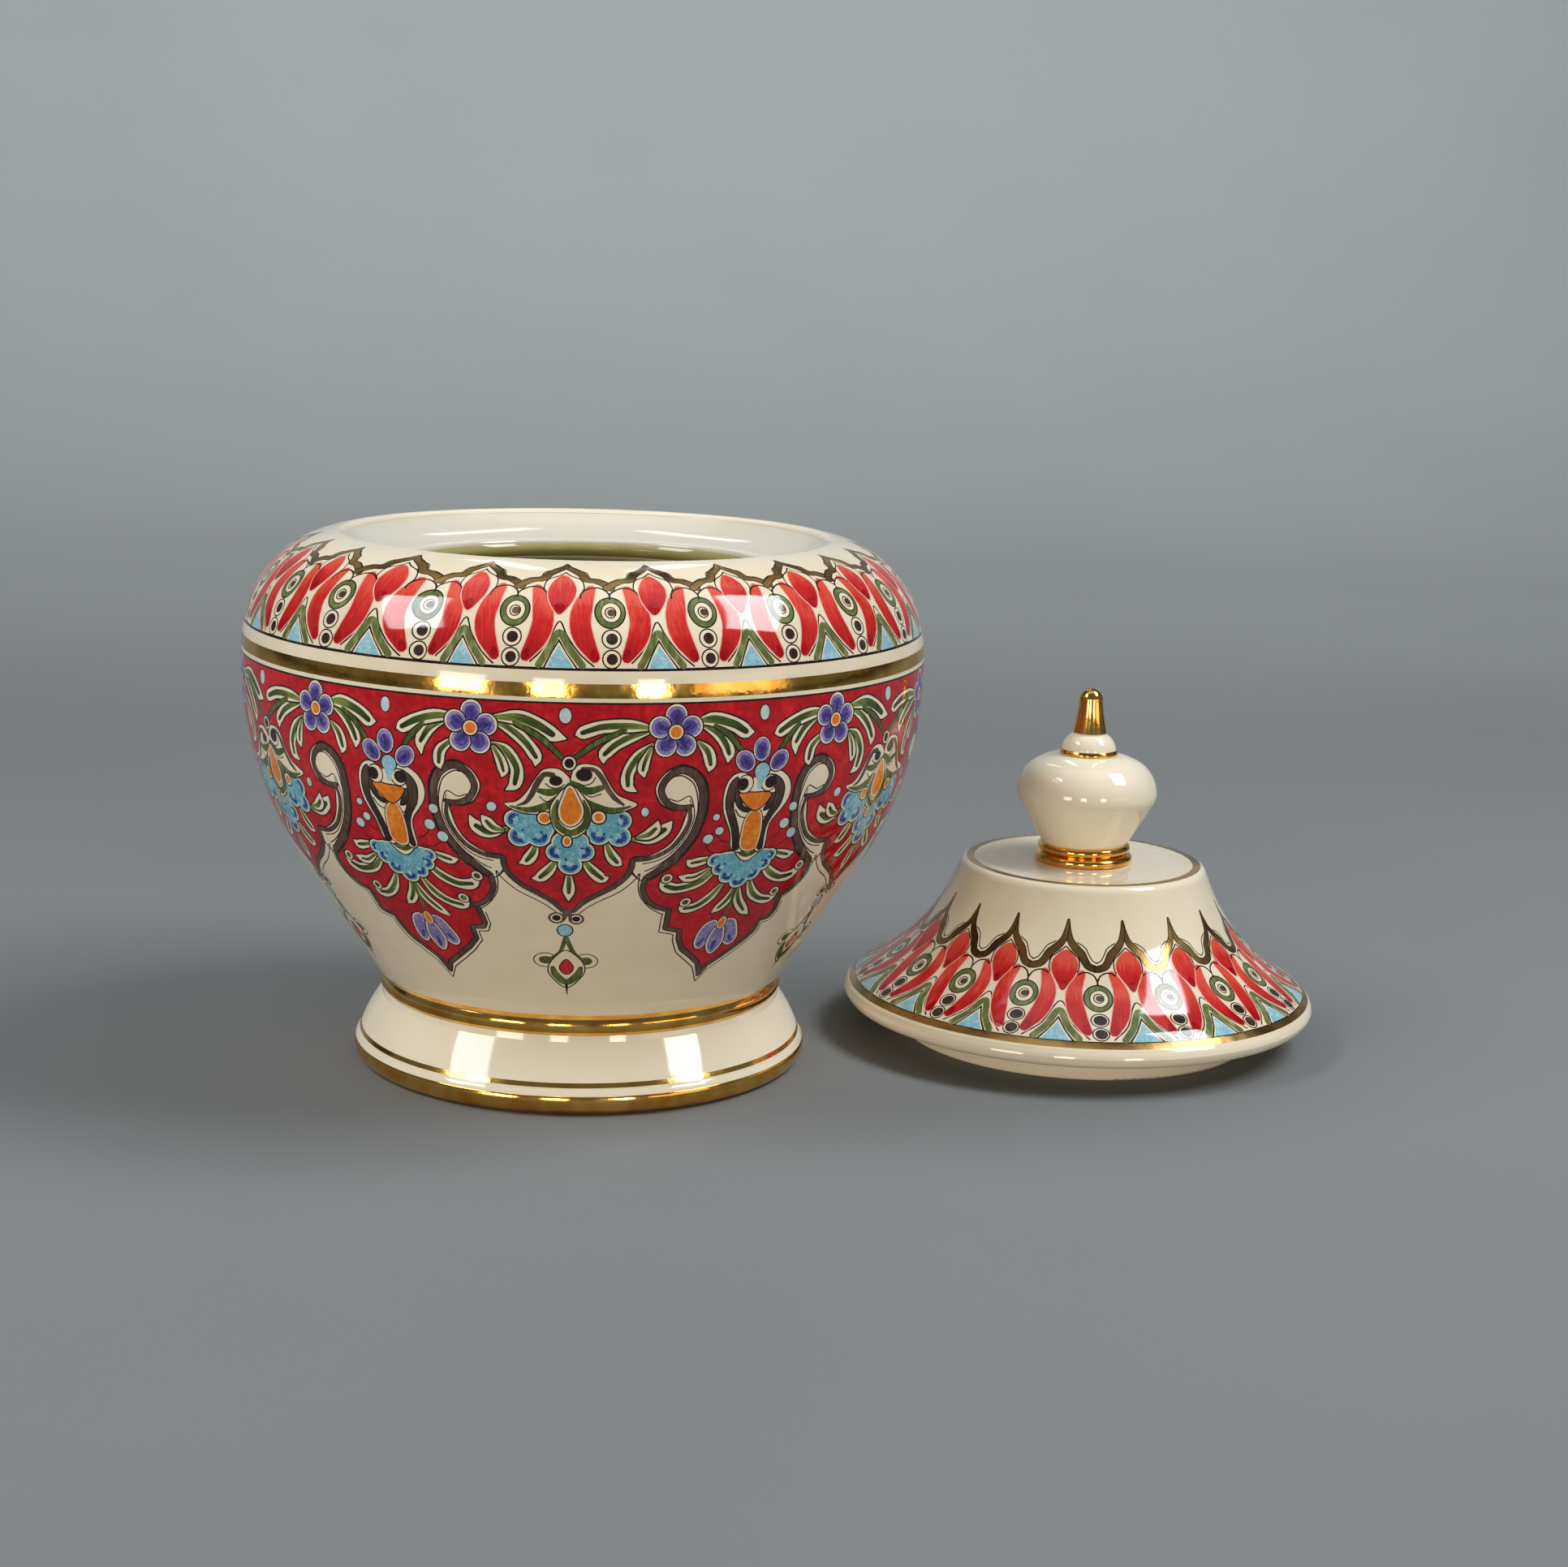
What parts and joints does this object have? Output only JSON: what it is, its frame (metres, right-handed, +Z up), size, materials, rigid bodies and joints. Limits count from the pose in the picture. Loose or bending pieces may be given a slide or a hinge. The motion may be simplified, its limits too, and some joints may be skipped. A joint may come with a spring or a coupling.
{
  "type": "lidded jar",
  "caption": "Round-bellied glazed ceramic jar on a low foot, its bell-shaped knobbed lid standing beside it.",
  "frame": {"origin": "on the table, below the middle of the whole row: the jar and the lid that stands beside it", "axes": "+Z up, +X from the jar towards its lid, +Y away from the side the pair is seen from"},
  "size_m": [0.2971, 0.1798, 0.1413],
  "materials": {
    "gilded_foot": "gloss",
    "painted_glaze": "gloss",
    "cream_glaze": "gloss",
    "gold_lustre": "gloss"
  },
  "bodies": {
    "jar": {"foot_ring": "gilded_foot", "bowl": "painted_glaze", "shoulder": "painted_glaze", "gallery_ring": "cream_glaze"},
    "lid": {"lid_flange": "cream_glaze", "lid_shell": "painted_glaze", "knob_ring": "gold_lustre", "knob_bulb": "cream_glaze", "knob_collar": "cream_glaze", "knob_finial": "gold_lustre"}
  },
  "joints": [
    {"name": "lid_lift", "type": "slide", "parent": "jar", "child": "lid", "axis": [0.7071, 0, 0.7071], "range_m": [0, 0.24]}
  ]
}
